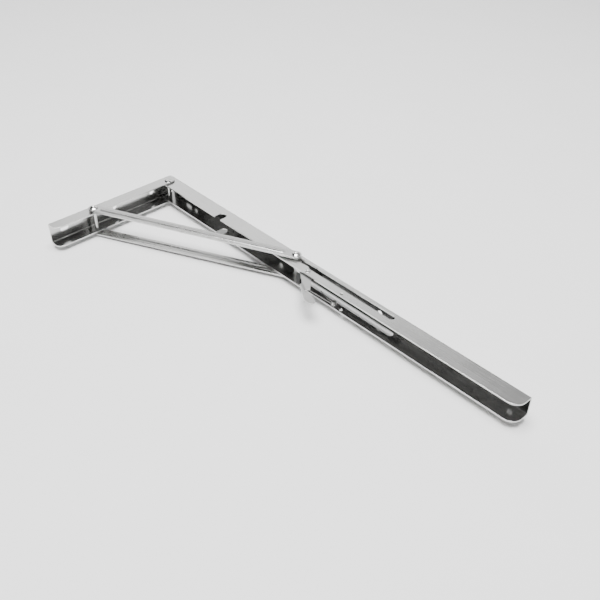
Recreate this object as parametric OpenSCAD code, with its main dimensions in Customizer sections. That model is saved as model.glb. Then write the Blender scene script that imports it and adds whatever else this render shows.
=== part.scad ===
// Folding shelf bracket in stainless steel: a wall leg and a shelf arm, two channels hinged
// at the corner, held square by a pair of braces whose upper pin slides in the arm and is
// caught by a sprung release lever.
//
// Frame: the bracket lies on its side. +X runs from the wall along the arm, +Y from the leg
// towards the shelf, +Z across the bracket, parallel to all the hinge pins. The origin is on
// the wall face, half-way between the two round wall screw holes and across the width.
// Most pieces are drawn from the wall and the shelf plane, and from_shelf() moves them.

/* [Sheet] */
// Thickness of the sheet that the channels and the lever are pressed from
sheet = 1.5; // [1.4:0.1:1.6]
// Outer radius of the bends along the channels
bend_r = 2.5; // [2:0.1:3]

/* [Wall leg] */
// Outer width of the wall leg
leg_w = 25; // [24.8:0.1:25.4]
// Depth of the leg's flanges, from the wall
leg_h = 16; // [16:0.5:18]
// Distance from the shelf plane down to the leg's lower end
leg_drop = 163; // [160:1:175]
// Distance from the shelf plane down to the leg's upper end
leg_top_gap = 4; // [3:0.5:5]
// Radius of the round flange corners at both ends of the leg
leg_corner_r = 8; // [6:0.5:10]
// Distance of the first wall screw hole below the shelf plane
wall_hole_drop = 32; // [30:1:34]
// Distance between the two round wall screw holes
wall_hole_pitch = 50; // [48:1:52]
// Distance from the second round hole down to the slotted one
wall_slot_pitch = 64; // [60:1:65]

/* [Shelf arm] */
// Distance from the wall to the arm's free end
arm_reach = 500; // [495:1:520]
// Outer width of the arm, a running fit between the leg's flanges
arm_w = 21.2; // [21:0.1:21.4]
// Depth of the arm's flanges, from the shelf plane
arm_h = 20; // [20:0.5:21]
// Radius of the round flange corners at the free end
arm_corner_r = 11; // [8:0.5:12]
// Distance from the wall to the middle of the shelf screw holes
shelf_hole_mid = 265; // [262:1:268]
// Distance between the two inner shelf screw holes
shelf_inner_pitch = 140; // [138:1:142]
// Distance between the two outer shelf screw holes
shelf_outer_pitch = 439; // [436:1:442]
// Distance from the wall to the slotted shelf hole
shelf_slot_x = 31.5; // [30:0.5:33]
// Diameter of every screw hole
screw_hole_d = 5.5; // [4.5:0.1:6]

/* [Linkage] */
// Distance of the corner pivot from the wall
corner_x = 11.5; // [11.3:0.1:12]
// Distance of the corner pivot below the shelf plane
corner_drop = 14; // [13.8:0.1:14.2]
// Distance of the brace pivot from the wall
brace_x = 10.5; // [10:0.1:11]
// Distance of the brace pivot below the corner pivot
brace_drop = 98.5; // [98:0.5:100]
// Distance of the slide pin from the wall, with the arm open
pin_x = 224.5; // [224:0.5:225]
// Distance of the slide pin below the shelf plane
pin_drop = 7.4; // [7.4:0.05:7.5]
// Diameter of the slide pin between the braces
pin_d = 3.8; // [3.6:0.1:3.8]
// Width of a brace
brace_w = 11.4; // [10:0.1:12]
// Thickness of a brace
brace_t = 1.8; // [1.5:0.1:2]

/* [Release lever] */
// Distance of the lever's rivet from the wall
lever_x = 250.5; // [250.3:0.1:250.7]
// Distance of the lever's rivet below the shelf plane
lever_drop = 15.5; // [15.4:0.1:15.6]
// How far the finger tab is stepped down from the rest of the lever
tab_step = 1.6; // [1.5:0.1:2]

/* [Hidden] */
$fn = 64;
steel = "silver";
dark_steel = "darkgray";

// Clearances: round a turning pin, and between flat faces that slide on each other
pin_fit = 0.05;
face_gap = 0.1;

// The part's origin is this far below the shelf plane
shelf_y = wall_hole_drop + wall_hole_pitch / 2;

// Levels across the width on the upper side; the lower side mirrors them
leg_out = leg_w / 2;
leg_in = leg_out - sheet;
arm_out = arm_w / 2;
arm_in = arm_out - sheet;
washer_t = 1.3;
brace_lo_foot = leg_out + washer_t + 2 * face_gap;
brace_lo_pin = arm_out + washer_t + 2 * face_gap;

// The linkage, as [distance from the wall, height over the shelf plane]
corner = [corner_x, -corner_drop];
foot = [brace_x, -corner_drop - brace_drop];
pin = [pin_x, -pin_drop];
lever_pin = [lever_x, -lever_drop];
brace_len = norm(pin - foot);
brace_angle = atan2(pin.y - foot.y, pin.x - foot.x);
brace_lean = atan2(brace_lo_foot - brace_lo_pin, brace_len);

// Rivets: shank radii, then heads as [radius, height]
pivot_shank_r = 1.6;
lever_shank_r = 1.5;
post_r = 1.7;
corner_head = [4.0, 1.3];
foot_head = [4.7, 2.0];
pin_head = [4.1, 1.9];
lever_head = [2.8, 0.9];
spring_head = [2.6, 0.8];
dimple = [1.5, 1.1];
spacer_r = 2.15;
washer_r = 4.3;

// Arm: round heel, notch for the brace pivot, slot with its raised tongue, sight holes
heel_r = 9;
arm_start = corner_x - heel_r;
notch_w = 9.6;
notch_top = -8.5;
notch_beyond = 2.1;
slot_top = -5.3;
slot_bottom = -11.8;
slot_end = 358;
tongue_top = -10.6;
tongue = [[248.8, slot_bottom], [244.8, -9.5], [235, tongue_top], [pin_x, tongue_top]];
sight_hole = [299, -17];
sight_hole_r = 1.7;

// Braces: the pressed bead along the middle
bead_r = 6;
bead_h = 0.7;
bead_margin = [12, 15];

// Release lever: levels, blade outline, locking tooth, bend line, tab and spring lug
lever_hi = arm_in - 0.5;
lever_lo = lever_hi - sheet;
lock_r = 25;
bend_from = [257.2, -30];
bend_to = [268.6, -35.2];
bend_len = norm(bend_to - bend_from);
bend_angle = atan2(bend_to.y - bend_from.y, bend_to.x - bend_from.x);
step_from = bend_from + tab_step * [sin(bend_angle), -cos(bend_angle)];
step_to = bend_to + tab_step * [sin(bend_angle), -cos(bend_angle)];
tab_end = [284, -43.1];
tab_end_r = 3.4;
tab_outline = [step_from, [257, -32.6], [262.3, -36.2], [270.5, -41.5], [278, -46.1],
               [283.8, -46.3], tab_end, [286, -40.5], [281.3, -37.5], [277, -36.2],
               [269.4, -35.6], step_to];
lug_x = [237.5, 242];
lug_y = -18.9;
lug_low = -8.7;
blade_outline = [[224, -5.6], [231.6, -5.6], [233.4, -9.9], [249, -10.4], [253.6, -11.5],
                 [256, -14.4], [260.2, -19.8], [271, -31.9], bend_to, bend_from,
                 [245, -20.8], [lug_x[1], lug_y], [lug_x[0] - 1.5, lug_y], [224, -13.2]];

// Lever spring: a wire coiled round a post on the lower flange, with one leg along under the
// lever's lug and one hooked towards the slot
wire_d = 0.9;
wire_sides = 8;
post = [289, -16.6];
post_top = -5.5;
coil_r = 2.5;
coil_turns = 2.5;
coil_steps = 50;
coil_z = [-6.2, -8.6];
lever_leg_end = [239.5, lug_y - wire_d / 2, -8.2];
hook_leg = [[278, -14.3, coil_z[1]], [264.8, -10.7, coil_z[1]]];

// Moves a piece drawn from the wall and the shelf plane into the part's own frame
module from_shelf() {
    translate([0, shelf_y, 0]) children();
}

// Mirrors a piece of the upper side to the lower side
module to_lower() {
    mirror([0, 0, 1]) children();
}

// Solid outline of a channel: a bar under the origin with round upper edges
module backed(w, h, r) {
    translate([-w / 2, -h]) square([w, h - r]);
    translate([r - w / 2, -h]) square([w - 2 * r, h]);
    for (side = [-1, 1]) translate([side * (w / 2 - r), -r]) circle(r);
}

// Pressed channel along +X with its web's face in the plane y = 0 and its flanges below
module channel(len, w, h) {
    rotate([0, 90, 0]) linear_extrude(len) difference() {
        backed(w, h, bend_r);
        translate([0, -sheet]) backed(w - 2 * sheet, h, bend_r - sheet);
    }
}

// Cutter that rounds the flange corner at a point; into gives the side the metal is on
module corner_cutter(at, into, r) {
    linear_extrude(2 * leg_w, center = true) difference() {
        translate(at + into * (r - 1) / 2) square(r + 1, center = true);
        translate(at + into * r) circle(r);
    }
}

// Hole across the whole bracket
module cross_hole(at, r) {
    translate([at.x, at.y, -leg_w]) cylinder(r = r, h = 2 * leg_w);
}

// Straight cylinder between two levels
module shank(at, r, low, high) {
    translate([at.x, at.y, low]) cylinder(r = r, h = high - low);
}

// Flat ring between two levels
module ring(at, outer, inner, low, high) {
    difference() {
        shank(at, outer, low, high);
        shank(at, inner, low - 1, high + 1);
    }
}

// Low domed rivet head that stands on a level, its rim a short straight cylinder
module dome(at, head, low) {
    rim = 0.35;
    crown = head[1] - rim;
    ball = (head[0] * head[0] + crown * crown) / (2 * crown);
    shank(at, head[0], low, low + rim);
    translate([at.x, at.y, low + rim]) intersection() {
        cylinder(r = head[0], h = crown);
        translate([0, 0, crown - ball]) sphere(ball, $fn = 128);
    }
}

// Domed head with the conical dimple that a spun rivet has
module spun_dome(at, head, low) {
    difference() {
        dome(at, head, low);
        translate([at.x, at.y, low + head[1] - dimple[1]])
            cylinder(r1 = 0.2, r2 = dimple[0] + 0.2, h = dimple[1] + 0.2);
    }
}

module wall_leg() {
    color(steel) from_shelf() difference() {
        translate([0, -leg_top_gap, 0]) mirror([1, 0, 0]) rotate([0, 0, -90])
            channel(leg_drop - leg_top_gap, leg_w, leg_h);
        corner_cutter([leg_h, -leg_drop], [-1, 1], leg_corner_r);
        corner_cutter([leg_h, -leg_top_gap], [-1, -1], leg_corner_r);
        cross_hole(corner, pivot_shank_r + pin_fit);
        cross_hole(foot, pivot_shank_r + pin_fit);
        for (i = [0, 1]) translate([-1, -wall_hole_drop - i * wall_hole_pitch, 0])
            rotate([0, 90, 0]) cylinder(d = screw_hole_d, h = leg_h);
        translate([-1, -wall_hole_drop - wall_hole_pitch - wall_slot_pitch, 0])
            rotate([0, 90, 0]) slotted_hole();
    }
}

// Slotted screw hole, long in Y
module slotted_hole() {
    reach = 2.5;
    for (side = [-1, 1]) translate([0, side * reach, 0]) cylinder(d = screw_hole_d, h = leg_h);
    translate([-screw_hole_d / 2, -reach, 0]) cube([screw_hole_d, 2 * reach, leg_h]);
}

module corner_rivet() {
    color(steel) from_shelf() {
        shank(corner, pivot_shank_r, -leg_out, leg_out);
        dome(corner, corner_head, leg_out);
        to_lower() dome(corner, corner_head, leg_out);
    }
}

module corner_spacer() {
    color(dark_steel) from_shelf()
        ring(corner, spacer_r, pivot_shank_r + pin_fit, face_gap - arm_in, arm_in - face_gap);
}

module brace_rivet() {
    head_lo = brace_lo_foot + brace_t + face_gap;
    color(steel) from_shelf() {
        shank(foot, pivot_shank_r, -head_lo, head_lo);
        spun_dome(foot, foot_head, head_lo);
        to_lower() spun_dome(foot, foot_head, head_lo);
    }
}

module brace_spacer() {
    color(dark_steel) from_shelf() ring(foot, spacer_r, pivot_shank_r + pin_fit, -leg_in, leg_in);
}

module leg_washer_upper() {
    color(dark_steel) from_shelf()
        ring(foot, washer_r, pivot_shank_r + pin_fit, leg_out, leg_out + washer_t);
}

module leg_washer_lower() {
    to_lower() leg_washer_upper();
}

module shelf_arm() {
    color(steel) from_shelf() difference() {
        translate([arm_start, 0, 0]) channel(arm_reach - arm_start, arm_w, arm_h);
        corner_cutter([arm_reach, -arm_h], [-1, 1], arm_corner_r);
        heel_cutter();
        notch_cutter();
        slot_cutter();
        cross_hole(corner, pivot_shank_r + pin_fit);
        cross_hole(sight_hole, sight_hole_r);
        shank(lever_pin, lever_shank_r + pin_fit, 0, arm_w);
        shank(post, post_r + pin_fit, -arm_w, 0);
        for (pitch = [shelf_inner_pitch, shelf_outer_pitch], side = [-1, 1])
            translate([shelf_hole_mid + side * pitch / 2, 1, 0])
                rotate([90, 0, 0]) cylinder(d = screw_hole_d, h = arm_h);
        translate([shelf_slot_x, 1, 0]) rotate([90, 90, 0]) slotted_hole();
    }
}

// Rounds the arm's heel about the corner pivot, so that it clears the leg as it folds
module heel_cutter() {
    linear_extrude(2 * leg_w, center = true) difference() {
        translate([arm_start - 1, -arm_h - 1]) square([heel_r + 1, arm_h + 1 - corner_drop]);
        translate(corner) circle(heel_r);
    }
}

// Round-topped notch in both flanges, which takes in the brace pivot as the arm folds down
module notch_cutter() {
    at = corner_x + brace_drop + notch_beyond;
    cross_hole([at, notch_top - notch_w / 2], notch_w / 2);
    translate([at - notch_w / 2, -arm_h - 1, -leg_w])
        cube([notch_w, arm_h + 1 + notch_top - notch_w / 2, 2 * leg_w]);
}

// Long slot for the slide pin in both flanges, narrowed over the tongue at its inner end
module slot_cutter() {
    inner_r = (slot_top - tongue_top) / 2;
    outer_r = (slot_top - slot_bottom) / 2;
    cross_hole([pin_x, slot_top - inner_r], inner_r);
    cross_hole([slot_end - outer_r, slot_top - outer_r], outer_r);
    linear_extrude(2 * leg_w, center = true)
        polygon(concat([[pin_x, slot_top], [slot_end - outer_r, slot_top],
                        [slot_end - outer_r, slot_bottom]], tongue));
}

module lever_rivet() {
    color(steel) from_shelf() {
        shank(lever_pin, lever_shank_r, lever_lo - face_gap, arm_out);
        spun_dome(lever_pin, lever_head, arm_out);
        translate([0, 0, 2 * lever_lo - 2 * face_gap]) to_lower()
            dome(lever_pin, lever_head, lever_lo - face_gap);
    }
}

module lever_washer() {
    color(dark_steel) from_shelf()
        ring(lever_pin, lever_head[0], lever_shank_r + pin_fit, lever_hi + face_gap, arm_in);
}

module spring_post() {
    head = 0.6;
    color(steel) from_shelf() {
        shank(post, post_r, -arm_out, post_top);
        shank(post, coil_r, post_top, post_top + head);
        to_lower() dome(post, spring_head, arm_out);
    }
}

// Point on the spring's coil, from 0 at the lever leg to 1 at the hook leg
function coil_point(t) =
    let(turn = 360 * coil_turns * t - 90)
    [post.x + coil_r * cos(turn), post.y + coil_r * sin(turn),
     coil_z[0] + (coil_z[1] - coil_z[0]) * t];

// Corners of the wire's section at a point of a path, square to the path as seen from above
function wire_ring(path, i) =
    let(along = path[min(i + 1, len(path) - 1)] - path[max(i - 1, 0)],
        side = [along.y, -along.x, 0] / norm([along.x, along.y]))
    [for (j = [0:wire_sides - 1]) path[i] + wire_d / 2
        * (cos(360 * j / wire_sides) * side + [0, 0, sin(360 * j / wire_sides)])];

// Wire swept along a path
module wire(path) {
    rings = len(path);
    near = [for (j = [0:wire_sides - 1]) j];
    far = [for (j = [wire_sides - 1:-1:0]) (rings - 1) * wire_sides + j];
    sides = [for (i = [0:rings - 2], j = [0:wire_sides - 1])
        let(a = i * wire_sides + j, b = i * wire_sides + (j + 1) % wire_sides)
        each [[b, a, a + wire_sides], [b, a + wire_sides, b + wire_sides]]];
    polyhedron([for (i = [0:rings - 1]) each wire_ring(path, i)], concat([near], [far], sides));
}

module lever_spring() {
    coil = [for (i = [0:coil_steps]) coil_point(i / coil_steps)];
    color(dark_steel) from_shelf() wire(concat([lever_leg_end], coil, hook_leg));
}

module release_lever() {
    color(steel) from_shelf() {
        difference() {
            translate([0, 0, lever_lo]) linear_extrude(sheet) polygon(blade_outline);
            lock_cutter();
            shank(lever_pin, lever_shank_r + pin_fit, lever_lo - 1, lever_hi + 1);
        }
        bent_step();
        finger_tab();
        translate([lug_x[0], lug_y, lug_low])
            cube([lug_x[1] - lug_x[0], sheet, lever_lo + sheet / 2 - lug_low]);
    }
}

// Trims the locking tooth to an arc about the lever's rivet, so that it lets go without
// pushing on the slide pin
module lock_cutter() {
    translate([0, 0, lever_lo - 1]) linear_extrude(sheet + 2) difference() {
        translate([lever_x - lock_r - 5, -arm_h]) square([15, arm_h]);
        translate(lever_pin) circle(lock_r, $fn = 128);
    }
}

// Sloping strip that steps the lever down to the level of its finger tab, with a thin tongue
// inside the plate and a lap inside the tab
module bent_step() {
    lap = 0.5;
    inset = 0.8;
    thin = 0.3;
    ledge = 0.1;
    translate([bend_from.x, bend_from.y, 0]) rotate(bend_angle) translate([inset, 0, 0])
        rotate([90, 0, 90]) linear_extrude(bend_len - 2 * inset) polygon([
            [lap, lever_hi - thin], [lap, lever_lo + thin], [0, lever_lo + ledge],
            [-tab_step, lever_lo - tab_step], [-tab_step - lap, lever_lo - tab_step],
            [-tab_step - lap, lever_hi - tab_step], [-tab_step, lever_hi - tab_step],
            [0, lever_hi - ledge]]);
}

// Finger tab with a round end
module finger_tab() {
    translate([0, 0, lever_lo - tab_step]) linear_extrude(sheet) {
        polygon(tab_outline);
        translate(tab_end) circle(tab_end_r);
    }
}

module upper_brace() {
    color(steel) from_shelf() difference() {
        translate([foot.x, foot.y, brace_lo_foot]) rotate(brace_angle)
            rotate([0, brace_lean, 0]) beaded_strip();
        cross_hole(foot, pivot_shank_r + pin_fit);
        cross_hole(pin, pin_d / 2 + pin_fit);
    }
}

module lower_brace() {
    to_lower() upper_brace();
}

// Flat strip with round ends and a bead pressed out along its middle
module beaded_strip() {
    difference() {
        union() {
            linear_extrude(brace_t) {
                for (x = [0, brace_len]) translate([x, 0]) circle(brace_w / 2);
                translate([0, -brace_w / 2]) square([brace_len, brace_w]);
            }
            intersection() {
                bead(brace_t + bead_h);
                translate([0, -brace_w / 2, brace_t / 2]) cube([brace_len, brace_w, brace_w]);
            }
        }
        bead(bead_h);
    }
}

// Round-ended bar whose crown reaches a level
module bead(crown) {
    from = bead_margin[0];
    to = brace_len - bead_margin[1];
    translate([0, 0, crown - bead_r]) {
        translate([from, 0, 0]) rotate([0, 90, 0]) cylinder(r = bead_r, h = to - from);
        for (x = [from, to]) translate([x, 0, 0]) sphere(bead_r);
    }
}

module pin_head_upper() {
    head_lo = brace_lo_pin + brace_t + face_gap;
    color(steel) from_shelf() {
        shank(pin, pin_d / 2, arm_out + face_gap, head_lo);
        spun_dome(pin, pin_head, head_lo);
    }
}

module pin_head_lower() {
    to_lower() pin_head_upper();
}

module pin_washer_upper() {
    low = arm_out + face_gap;
    color(dark_steel) from_shelf() ring(pin, washer_r, pin_d / 2 + pin_fit, low, low + washer_t);
}

module pin_washer_lower() {
    to_lower() pin_washer_upper();
}

module slide_pin() {
    color(steel) from_shelf() shank(pin, pin_d / 2, -arm_out, arm_out);
}

wall_leg();
corner_rivet();
corner_spacer();
brace_rivet();
brace_spacer();
leg_washer_upper();
leg_washer_lower();
shelf_arm();
lever_rivet();
lever_washer();
spring_post();
lever_spring();
release_lever();
upper_brace();
lower_brace();
pin_head_upper();
pin_head_lower();
pin_washer_upper();
pin_washer_lower();
slide_pin();
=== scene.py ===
import math

import bpy
from mathutils import Matrix, Vector


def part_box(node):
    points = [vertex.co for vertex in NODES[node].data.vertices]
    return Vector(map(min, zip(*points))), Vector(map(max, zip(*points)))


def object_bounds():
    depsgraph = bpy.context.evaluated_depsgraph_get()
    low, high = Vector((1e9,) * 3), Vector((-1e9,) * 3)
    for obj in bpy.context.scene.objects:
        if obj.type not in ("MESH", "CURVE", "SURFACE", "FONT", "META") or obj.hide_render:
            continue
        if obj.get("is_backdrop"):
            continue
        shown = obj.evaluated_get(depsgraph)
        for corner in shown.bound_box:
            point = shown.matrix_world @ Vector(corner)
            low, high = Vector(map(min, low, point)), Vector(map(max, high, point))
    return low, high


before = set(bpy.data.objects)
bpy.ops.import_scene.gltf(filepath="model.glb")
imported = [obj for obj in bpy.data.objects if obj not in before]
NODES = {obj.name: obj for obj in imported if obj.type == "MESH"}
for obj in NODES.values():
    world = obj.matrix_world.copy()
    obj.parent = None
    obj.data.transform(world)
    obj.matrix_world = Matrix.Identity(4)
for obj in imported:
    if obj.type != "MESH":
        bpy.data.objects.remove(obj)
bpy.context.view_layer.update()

# The camera: the picture's viewing angle, found from the bracket's own edges. Metres and degrees.
CAMERA_AT = (0.6845, -0.3811, 0.4522)
CAMERA_HEADING = -46.47
CAMERA_PITCH = 38.28
CAMERA_ROLL = 0.56
CLIP_START = 0.01
SENSOR_MM = 36.0
LENS_MM = 45.28

# Thickness of the channels' sheet, in metres, and how deep in it their painted inside shade begins
SHEET = 0.0015
INSIDE_FROM = SHEET * 0.8

# The lever's lug, darkened nearly to black as painted shade: all of the lever that is below this
# height, in metres, at any width
LUG_TOP = 0.0054
ANY_WIDTH = 1

# Brushed steel, the same for every piece. The streaks and the clouds are two noises, and their
# sum lies between NOISE_LOW and NOISE_HIGH nearly everywhere.
STREAK_SCALE = 600.0
CLOUD_SCALE = 38.0
NOISE_LOW, NOISE_HIGH = 0.6, 1.4
TONE_SPREAD = 0.12
ROUGH_SPREAD = 0.2
RELIEF = 0.04
RELIEF_DEPTH = 0.0002
BLUE_SHARE = 0.985
INSIDE_ROUGH_SHARE = 0.7
BEVEL_SAMPLES = 6
EDGE_GAIN = 9.0

# How much the streaks are drawn out: small numbers along the piece, 1 across it
ALONG_X = (0.02, 1, 1)
ALONG_Y = (1, 0.02, 1)
ALONG_BRACE = (0.05, 0.1, 1)
ALONG_LEVER = (0.3, 0.3, 1)
ALONG_PIN = (1, 1, 0.1)
ALONG_SLEEVE = (1, 1, 0.05)
EVEN = (1, 1, 1)

# The floor, a hair below the bracket: sizes in metres, and the two greys that it varies between
FLOOR_SIZE = 6
FLOOR_AT = (0.2, 0)
FLOOR_GAP = 0.0003
FLOOR_TONES = (0.86, 0.9)
FLOOR_CLOUD_SCALE = 9.0
FLOOR_ROUGH = 0.8

# The studio's walls and ceiling: strength by the sine of the height above the horizon
WALL_TOP, CEILING_FROM = 0.05, 0.4
WALL_STRENGTH, CEILING_STRENGTH = 0.6, 0.07

# The softboxes: place, target and size in metres, and radiance in watts per steradian and m2
SOFTBOXES = {
    "back_left": ((-1.3, 1.2, 1.05), (0.1, 0, 0), (1.7, 1.1), 1.9),
    "back_right": ((0.1, 1.3, 1.2), (0.4, 0, 0), (1.0, 1.1), 0.5),
    "left": ((-1.5, -0.46, 0.48), (0.27, 0.02, 0), (0.7, 0.6), 1.2),
    "right": ((1.0, 0.95, 1.1), (0, 0, 0), (0.8, 0.8), 0.4),
    "overhead": ((0.35, -0.2, 2.0), (0.25, 0, 0), (1.4, 1.4), 20.0),
}


def camera():
    """The camera, aimed by heading from +Y, pitch below level and roll."""
    heading, pitch = math.radians(CAMERA_HEADING), math.radians(CAMERA_PITCH)
    ahead = Vector((math.sin(heading) * math.cos(pitch), math.cos(heading) * math.cos(pitch),
                    -math.sin(pitch)))
    right = Vector((math.cos(heading), -math.sin(heading), 0))
    up = right.cross(ahead)
    axes = Matrix((right, up, -ahead)).transposed()
    axes = axes @ Matrix.Rotation(math.radians(CAMERA_ROLL), 3, "Z")
    data = bpy.data.cameras.new("camera")
    data.sensor_width = SENSOR_MM
    data.lens = LENS_MM
    data.clip_start = CLIP_START
    obj = bpy.data.objects.new("camera", data)
    obj.matrix_world = Matrix.Translation(CAMERA_AT) @ axes.to_4x4()
    bpy.context.scene.collection.objects.link(obj)
    bpy.context.scene.camera = obj


def fill(tree, socket, value):
    """Link a socket to another node's output, or set it to a plain value."""
    if isinstance(value, bpy.types.NodeSocket):
        tree.links.new(value, socket)
    else:
        socket.default_value = value


def add_node(tree, kind, values, **settings):
    """A new node with its settings, and its inputs filled by name or number."""
    made = tree.nodes.new("ShaderNode" + kind)
    for key, value in settings.items():
        setattr(made, key, value)
    for key, value in values.items():
        fill(tree, made.inputs[key], value)
    return made


class Shader:
    """A material's node tree, built a node at a time."""

    def __init__(self, name):
        self.material = bpy.data.materials.new(name)
        self.material.use_nodes = True
        self.tree = self.material.node_tree

    def node(self, kind, values, **settings):
        """A new node in this material."""
        return add_node(self.tree, kind, values, **settings)

    def calc(self, operation, first, second=0.0, clamped=False):
        """The result of a Math node, kept between 0 and 1 where clamped."""
        return self.node("Math", {0: first, 1: second}, operation=operation,
                         use_clamp=clamped).outputs[0]

    def mix(self, mask, base, other):
        """base where the mask is 0, other where it is 1. A Mix node takes plain numbers at 2, 3."""
        return self.node("Mix", {0: mask, 2: base, 3: other}, data_type="FLOAT").outputs[0]

    def spread(self, value, low, high, to_low, to_high):
        """The value moved from the range low to high into the range to_low to to_high."""
        return self.node("MapRange", {"Value": value, "From Min": low, "From Max": high,
                                      "To Min": to_low, "To Max": to_high}).outputs[0]

    def place(self):
        """The point on the surface, in its object's own frame."""
        return self.node("TexCoord", {}).outputs["Object"]

    def noise(self, stretch, scale, detail, roughness=0.5):
        """Noise on the surface, with the place multiplied by stretch first."""
        mapped = self.node("Mapping", {"Vector": self.place(), "Scale": stretch}).outputs[0]
        return self.node("TexNoise", {"Vector": mapped, "Scale": scale, "Detail": detail,
                                      "Roughness": roughness}).outputs["Fac"]

    def set(self, **values):
        """Fill the surface's own inputs, named with _ for a space."""
        surface = self.tree.nodes["Principled BSDF"]
        for key, value in values.items():
            fill(self.tree, surface.inputs[key.replace("_", " ")], value)


def inside_mask(shader, half_width, axis, level):
    """1 nearer the bracket's middle plane than half_width, and also past level: above it on axis 0,
    below it on axis 1 or 2. That is the inside of a channel, or the lever's lug, painted in shade."""
    parts = shader.node("SeparateXYZ", {0: shader.place()}).outputs
    between = shader.calc("LESS_THAN", shader.calc("ABSOLUTE", parts[2]), half_width)
    past = shader.calc("GREATER_THAN" if axis == 0 else "LESS_THAN", parts[axis], level)
    return shader.calc("MULTIPLY", between, past)


def rounded_edge(shader, radius):
    """The bevelled normal, and a mask that is 1 where an edge turns away from the flat face."""
    bevel = shader.node("Bevel", {"Radius": radius}, samples=BEVEL_SAMPLES).outputs[0]
    face = shader.node("NewGeometry", {}).outputs["True Normal"]
    turned = shader.node("VectorMath", {0: bevel, 1: face}, operation="DOT_PRODUCT")
    away = shader.calc("SUBTRACT", 1.0, turned.outputs["Value"])
    return bevel, shader.calc("MULTIPLY", away, EDGE_GAIN, clamped=True)


def steel(name, tone, rough, along, edge=0.0003, painted_edge_tone=0.97, metallic=1.0, inside=None,
          painted_shade_factor=1.0):
    """Brushed stainless steel: streaks along the piece in tone, gloss and relief, slow clouds from
    the
    polishing, and edges rounded to a radius of edge metres, with a tone of their own painted on
    them:
    a painted highlight where it is lighter than the face, a painted dark outline where darker.
    inside is the half_width, axis and level of inside_mask: there the tone is darkened by a factor,
    as painted shade, and the surface is smoother."""
    shader = Shader(name)
    streaks = shader.noise(along, STREAK_SCALE, detail=6.0, roughness=0.65)
    clouds = shader.noise(EVEN, CLOUD_SCALE, detail=3.0)
    both = shader.calc("ADD", streaks, clouds)
    shade = shader.spread(both, NOISE_LOW, NOISE_HIGH, tone * (1 - TONE_SPREAD),
                          tone * (1 + TONE_SPREAD))
    roughness = shader.spread(both, NOISE_LOW, NOISE_HIGH, rough * (1 - ROUGH_SPREAD),
                              rough * (1 + ROUGH_SPREAD))
    if inside:
        # Painted shade: the tone darkened by a factor inside the channels and on the lever's lug
        mask = inside_mask(shader, *inside)
        shade = shader.mix(mask, shade, shader.calc("MULTIPLY", shade, painted_shade_factor))
        smoother = shader.calc("MULTIPLY", roughness, INSIDE_ROUGH_SHARE)
        roughness = shader.mix(mask, roughness, smoother)
    normal, turned = rounded_edge(shader, edge)
    # Painted light on the edges: a painted highlight where the edge tone is lighter than the face,
    # a painted dark outline where darker
    shade = shader.mix(turned, shade, painted_edge_tone)
    blue = shader.calc("MULTIPLY", shade, BLUE_SHARE)
    colour = shader.node("CombineColor", {0: shade, 1: shade, 2: blue}).outputs[0]
    bump = shader.node("Bump", {"Height": streaks, "Strength": RELIEF, "Distance": RELIEF_DEPTH,
                                "Normal": normal}).outputs[0]
    shader.set(Base_Color=colour, Metallic=metallic, Roughness=roughness, Normal=bump)
    return shader.material


def paint(material, *nodes):
    """Give CAD nodes a material in place of their own."""
    for node in nodes:
        mesh = NODES[node].data
        mesh.materials.clear()
        mesh.materials.append(material)


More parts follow.
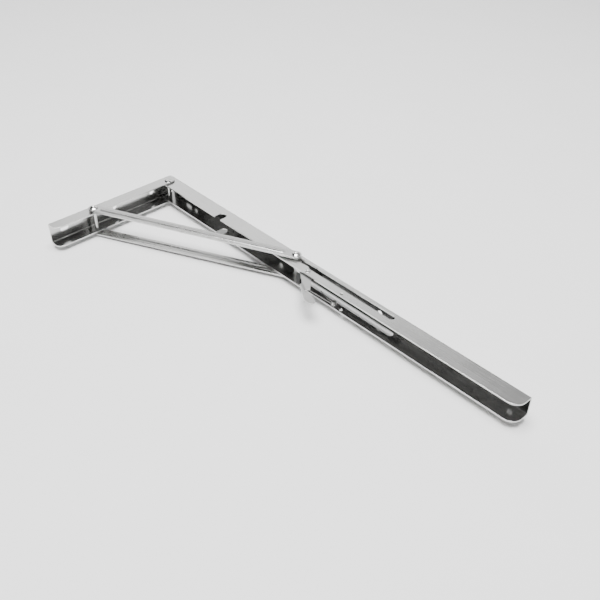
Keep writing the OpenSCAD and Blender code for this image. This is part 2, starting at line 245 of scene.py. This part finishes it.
def paint_bracket():
    """A finish for every CAD node, with the streaks along each piece."""
    arm_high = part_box("shelf_arm")[1]
    leg_low, leg_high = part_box("wall_leg")
    # The channels' insides, where their tone is darkened as painted shade
    arm_inside = (arm_high.z - INSIDE_FROM, 1, arm_high.y - INSIDE_FROM)
    leg_inside = (leg_high.z - INSIDE_FROM, 0, leg_low.x + INSIDE_FROM)
    paint(steel("arm_sheet", tone=0.62, rough=0.27, along=ALONG_X, inside=arm_inside,
                painted_shade_factor=0.52),
          "shelf_arm")
    paint(steel("leg_sheet", tone=0.58, rough=0.27, along=ALONG_Y, inside=leg_inside,
                painted_shade_factor=0.9),
          "wall_leg")
    paint(steel("brace_strip", tone=0.54, rough=0.28, along=ALONG_BRACE, edge=0.0007,
                painted_edge_tone=0.7),
          "upper_brace", "lower_brace")
    # The lever: its lug darkened nearly to black as painted shade, and a painted dark outline along
    # its edges
    paint(steel("lever_sheet", tone=0.55, rough=0.3, along=ALONG_LEVER, painted_edge_tone=0.4,
                inside=(ANY_WIDTH, 2, LUG_TOP), painted_shade_factor=0.05),
          "release_lever")
    paint(steel("rivet_head", tone=0.72, rough=0.17, along=ALONG_PIN, edge=0.0002),
          "corner_rivet", "brace_rivet", "lever_rivet", "spring_post",
          "pin_head_upper", "pin_head_lower")
    # The slide pin, nearly white and mostly not metallic, so that it shows as a painted highlight
    # along the shank
    paint(steel("pin_painted_highlight", tone=0.95, rough=0.4, along=ALONG_PIN, metallic=0.2), "slide_pin")
    paint(steel("sleeve", tone=0.6, rough=0.2, along=ALONG_SLEEVE),
          "corner_spacer", "brace_spacer")
    paint(steel("washer", tone=0.5, rough=0.25, along=EVEN),
          "leg_washer_upper", "leg_washer_lower", "pin_washer_upper", "pin_washer_lower",
          "lever_washer")
    paint(steel("spring_wire", tone=0.5, rough=0.2, along=EVEN, edge=0.0001), "lever_spring")


def floor():
    """A plain pale floor just under the bracket."""
    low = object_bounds()[0][2]
    bpy.ops.mesh.primitive_plane_add(size=FLOOR_SIZE, location=(*FLOOR_AT, low - FLOOR_GAP))
    plane = bpy.context.object
    plane.name = "floor"
    shader = Shader("pale_floor")
    clouds = shader.noise(EVEN, FLOOR_CLOUD_SCALE, detail=4.0)
    shader.set(Base_Color=shader.spread(clouds, 0, 1, *FLOOR_TONES), Roughness=FLOOR_ROUGH)
    plane.data.materials.append(shader.material)
    plane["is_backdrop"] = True


def studio():
    """The world: brighter low down, where the bracket's sides see it, than overhead."""
    world = bpy.data.worlds.new("studio")
    world.use_nodes = True
    tree = world.node_tree
    direction = add_node(tree, "TexCoord", {}).outputs["Generated"]
    height = add_node(tree, "SeparateXYZ", {0: direction}).outputs[2]
    strength = add_node(tree, "MapRange", {
        "Value": height, "From Min": WALL_TOP, "From Max": CEILING_FROM,
        "To Min": WALL_STRENGTH, "To Max": CEILING_STRENGTH}).outputs[0]
    background = tree.nodes["Background"]
    fill(tree, background.inputs["Color"], (1, 1, 1, 1))
    fill(tree, background.inputs["Strength"], strength)
    bpy.context.scene.world = world


def softbox(name, at, target, size, radiance):
    """An area light that the camera doesn't see, as bright as a surface of that radiance."""
    data = bpy.data.lights.new(name, "AREA")
    data.shape = "RECTANGLE"
    data.size, data.size_y = size
    data.energy = radiance * math.pi * size[0] * size[1]
    obj = bpy.data.objects.new(name, data)
    obj.location = at
    obj.rotation_euler = (Vector(target) - Vector(at)).to_track_quat("-Z", "Y").to_euler()
    obj.visible_camera = False
    bpy.context.scene.collection.objects.link(obj)


camera()
paint_bracket()
floor()
studio()
for title, values in SOFTBOXES.items():
    softbox(title, *values)
